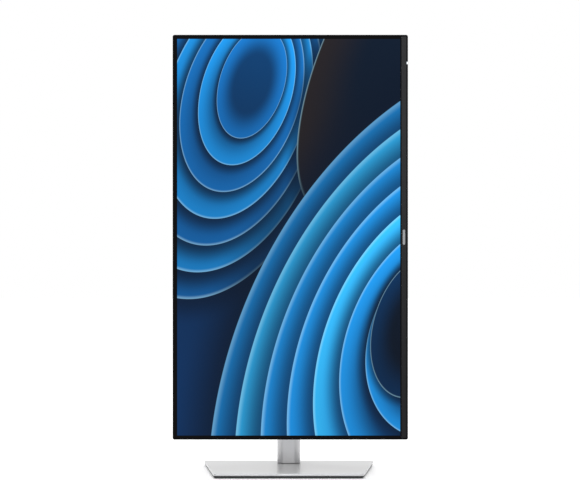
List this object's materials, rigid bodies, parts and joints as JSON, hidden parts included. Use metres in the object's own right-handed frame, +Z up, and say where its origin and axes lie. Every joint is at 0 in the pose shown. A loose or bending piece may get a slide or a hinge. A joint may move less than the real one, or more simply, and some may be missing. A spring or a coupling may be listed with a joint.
{
  "type": "computer monitor",
  "caption": "Flat widescreen computer monitor on a silver stand that lifts, tilts, swivels and turns the screen between landscape and portrait.",
  "frame": {"origin": "on the desk, where the stand's swivel axis meets it", "axes": "+Z up, -Y towards the viewer, +X to the viewer's right"},
  "size_m": [0.3126, 0.18, 0.5879],
  "materials": {
    "silver_paint": "fine satin metallic paint",
    "silver_plastic": "silver metallic moulded plastic",
    "black_plastic": "fine spark-eroded texture",
    "chin_grey": "fine brushed satin",
    "badge": "satin",
    "screen": "anti-glare polariser",
    "panel_glass": "black border",
    "clear_plastic": "clear moulding",
    "white_film": "white sheet",
    "white_plastic": "white moulding",
    "bare_steel": "zinc-plated sheet",
    "black_steel": "black powder coat",
    "grey_die_cast": "as cast",
    "spring_steel": "blued strip",
    "brass": "turned",
    "circuit_board": "solder mask",
    "ribbon": "flat flexible cable",
    "rubber": "matt",
    "led_lens": "light pipe"
  },
  "bodies": {
    "base": {"base_cover": "silver_paint", "base_weight": "bare_steel", "base_plate": "black_steel", "base_feet": "rubber"},
    "column": {"swivel_rotor": "grey_die_cast", "column_foot": "grey_die_cast", "column_frame": "bare_steel", "riser_front_cover": "silver_plastic", "riser_rear_cover": "silver_plastic", "riser_top_cap": "silver_plastic", "cable_pass_liner": "black_plastic", "guide_rails": "bare_steel", "spring_ribbon": "spring_steel"},
    "screw": {"thumb_screw": "bare_steel"},
    "screw_ring": {"thumb_screw_ring": "bare_steel"},
    "cages": {"ball_cages": "white_plastic"},
    "carriage": {"slide_carriage": "grey_die_cast", "neck": "bare_steel", "hinge_pin": "bare_steel", "hinge_washers": "bare_steel", "tilt_springs": "spring_steel", "hinge_cover": "black_plastic"},
    "spool": {"spring_coil": "spring_steel"},
    "tilt_arm": {"tilt_bracket": "bare_steel", "pivot_shroud": "black_plastic"},
    "gimbal": {"joystick_gimbal": "black_plastic"},
    "stick": {"joystick_shaft": "black_plastic"},
    "stick_cap": {"joystick_cap": "black_plastic"},
    "button": {"power_button": "black_plastic"},
    "latch": {"release_latch": "black_plastic"},
    "head": {"ac_inlet": "black_plastic", "chin_strip": "chin_grey", "controls_board": "circuit_board", "cover_screws": "bare_steel", "display_port_socket": "black_plastic", "front_badge": "badge", "front_frame": "black_plastic", "front_polariser": "screen", "hdmi_socket": "black_plastic", "lcd_glass": "panel_glass", "led_light_bar": "circuit_board", "light_guide_plate": "clear_plastic", "lock_plate": "bare_steel", "main_board": "circuit_board", "optical_films": "white_film", "panel_back_tray": "bare_steel", "panel_mid_frame": "white_plastic", "panel_ribbon": "ribbon", "pivot_disc": "bare_steel", "pivot_nut": "bare_steel", "power_board": "circuit_board", "power_components": "circuit_board", "power_led_lens": "led_lens", "rear_cover": "black_plastic", "reflector_sheet": "white_film", "stand_mount_plate": "bare_steel", "support_chassis": "bare_steel", "timing_board": "circuit_board", "usb_sockets": "black_plastic", "vesa_bushes": "brass"}
  },
  "joints": [
    {"name": "swivel", "type": "hinge", "parent": "base", "child": "column", "pos_m": [0, 0, 0], "axis": [0, 0, 1], "range_deg": [-45, 45]},
    {"name": "thumb_screw_turn", "type": "hinge", "parent": "column", "child": "screw", "pos_m": [0, 0, 0.002], "axis": [0, 0, 1], "continuous": true},
    {"name": "ring_fold", "type": "hinge", "parent": "screw", "child": "screw_ring", "pos_m": [0, 0, 0.002], "axis": [-1, 0, 0], "range_deg": [0, 90]},
    {"name": "height", "type": "slide", "parent": "column", "child": "carriage", "axis": [0, 0, 1], "range_m": [-0.035, 0.02], "deforming": ["spring_ribbon"]},
    {"name": "ball_cage_travel", "type": "slide", "parent": "column", "child": "cages", "axis": [0, 0, 1], "range_m": [-0.0176, 0.0101]},
    {"name": "spring_coil_turn", "type": "hinge", "parent": "carriage", "child": "spool", "pos_m": [0, 0.0042, 0.31], "axis": [1, 0, 0], "range_deg": [-215, 375]},
    {"name": "tilt", "type": "hinge", "parent": "carriage", "child": "tilt_arm", "pos_m": [0, -0.055, 0.319], "axis": [-1, 0, 0], "range_deg": [-5, 21]},
    {"name": "pivot", "type": "hinge", "parent": "tilt_arm", "child": "head", "pos_m": [0, -0.132, 0.319], "axis": [0, 1, 0], "range_deg": [0, 90]},
    {"name": "latch_slide", "type": "slide", "parent": "head", "child": "latch", "axis": [1, 0, 0], "range_m": [0, 0.004], "stiffness_N_per_m": 500, "springref_m": -0.003},
    {"name": "power_press", "type": "slide", "parent": "head", "child": "button", "axis": [0, -1, 0], "range_m": [0, 0.0007], "stiffness_N_per_m": 1500, "springref_m": -0.0006},
    {"name": "stick_side", "type": "hinge", "parent": "head", "child": "gimbal", "pos_m": [0.128, -0.1138, 0.554], "axis": [0, 0, 1], "range_deg": [-6, 6], "stiffness_Nm_per_rad": 0.05},
    {"name": "stick_up_down", "type": "hinge", "parent": "gimbal", "child": "stick", "pos_m": [0.128, -0.1138, 0.554], "axis": [1, 0, 0], "range_deg": [-6, 6], "stiffness_Nm_per_rad": 0.05},
    {"name": "stick_press", "type": "slide", "parent": "stick", "child": "stick_cap", "axis": [0, -1, 0], "range_m": [0, 0.0005], "stiffness_N_per_m": 1500, "springref_m": -0.0006}
  ],
  "couplings": [
    {"joint": "ball_cage_travel", "follows": "height", "ratio": 0.5},
    {"joint": "spring_coil_turn", "follows": "height", "rad_per_m": -185.19}
  ]
}
